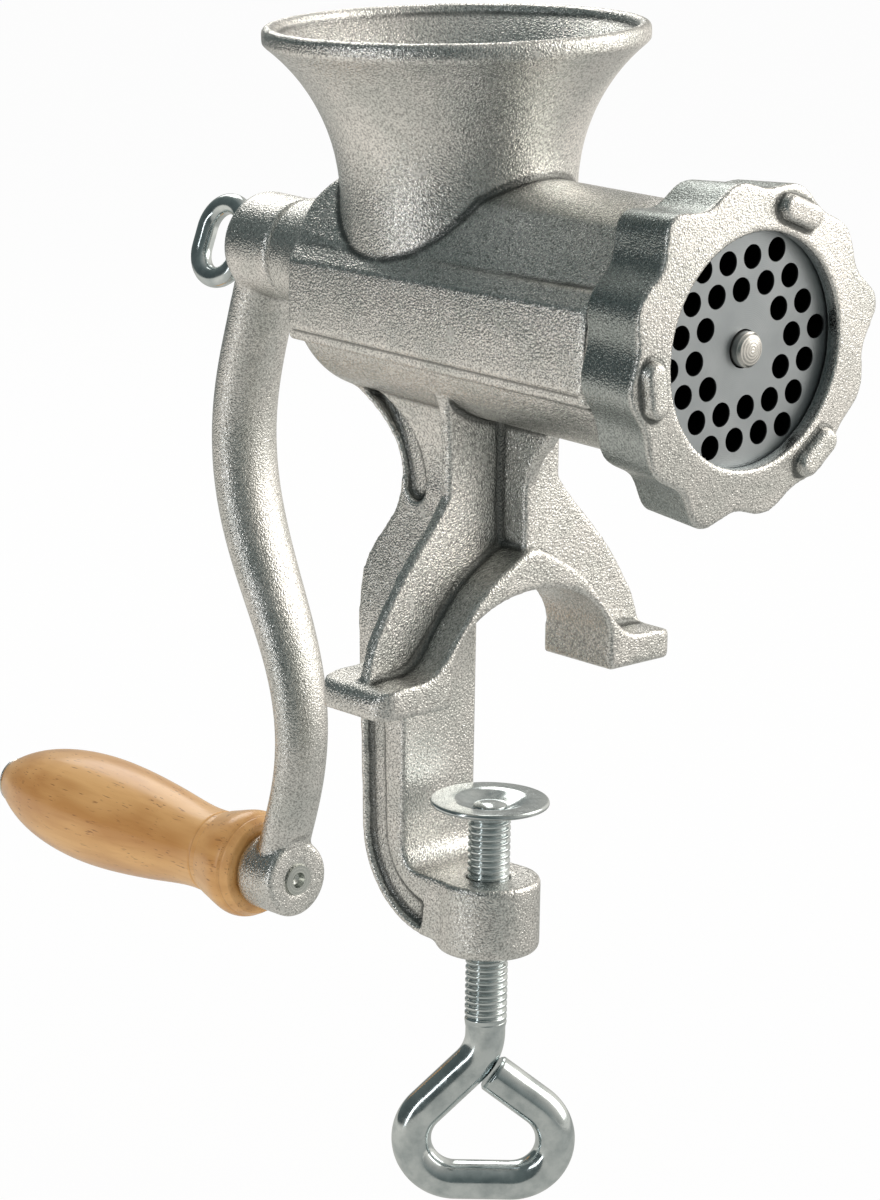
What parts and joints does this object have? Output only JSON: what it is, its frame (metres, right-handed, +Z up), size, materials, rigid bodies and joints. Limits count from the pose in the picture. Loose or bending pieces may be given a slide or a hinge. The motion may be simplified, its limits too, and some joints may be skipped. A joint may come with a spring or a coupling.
{
  "type": "hand crank meat grinder",
  "caption": "Table-clamped hand meat grinder: cast body with a trumpet hopper, perforated outlet plate in a fluted ring nut, S-shaped crank with a wooden grip and a loop-handled clamp screw.",
  "frame": {"origin": "where the clamp screw's axis meets the plane under the two feet, which is the table's top", "axes": "+Z up, +Y along the barrel from the outlet towards the crank, +X across the grinder"},
  "size_m": [0.1024, 0.2856, 0.3073],
  "materials": {
    "tinned_casting": "tinned sand casting, satin",
    "plate_steel": "ground steel",
    "bright_steel": "turned steel",
    "zinc_plate": "bright zinc plating",
    "grip_wood": "varnished beech",
    "bush_brass": "turned"
  },
  "bodies": {
    "casting": {"body": "tinned_casting", "plate_key": "bright_steel", "rear_bush": "bush_brass", "thrust_washer": "bright_steel"},
    "plate": {"cutting_plate": "plate_steel"},
    "ring": {"ring_nut": "tinned_casting"},
    "drive": {"worm": "tinned_casting", "worm_stud": "bright_steel", "knife": "plate_steel", "crank_arm": "tinned_casting", "grip_spindle": "bright_steel", "grip_cap": "bright_steel"},
    "thumb_screw": {"crank_screw": "zinc_plate"},
    "handle": {"grip": "grip_wood"},
    "pad": {"clamp_pad": "zinc_plate"},
    "screw": {"clamp_screw": "zinc_plate"}
  },
  "joints": [
    {"name": "crank_turn", "type": "hinge", "parent": "casting", "child": "drive", "pos_m": [0, 0.0823, 0.0986], "axis": [0, -1, 0], "continuous": true},
    {"name": "grip_spin", "type": "hinge", "parent": "drive", "child": "handle", "pos_m": [0, 0.14, -0.072], "axis": [0, 1, 0], "continuous": true},
    {"name": "thumb_screw_turn", "type": "hinge", "parent": "drive", "child": "thumb_screw", "pos_m": [0, 0.1, 0.0986], "axis": [0, 1, 0], "range_deg": [0, 180]},
    {"name": "plate_slide", "type": "slide", "parent": "casting", "child": "plate", "axis": [0, -1, 0], "range_m": [0, 0.012]},
    {"name": "ring_nut_turn", "type": "hinge", "parent": "plate", "child": "ring", "pos_m": [0, -0.08, 0.0986], "axis": [0, -1, 0], "range_deg": [0, 1440]},
    {"name": "pad_lift", "type": "slide", "parent": "casting", "child": "pad", "axis": [0, 0, 1], "range_m": [-0.015, 0.02]},
    {"name": "clamp_screw_turn", "type": "hinge", "parent": "pad", "child": "screw", "pos_m": [0, 0, -0.09], "axis": [0, 0, 1], "range_deg": [-3085, 4114]}
  ],
  "couplings": [
    {"joint": "plate_slide", "follows": "ring_nut_turn", "m_per_rad": 0.00047746},
    {"joint": "pad_lift", "follows": "clamp_screw_turn", "m_per_rad": 0.00027852}
  ]
}
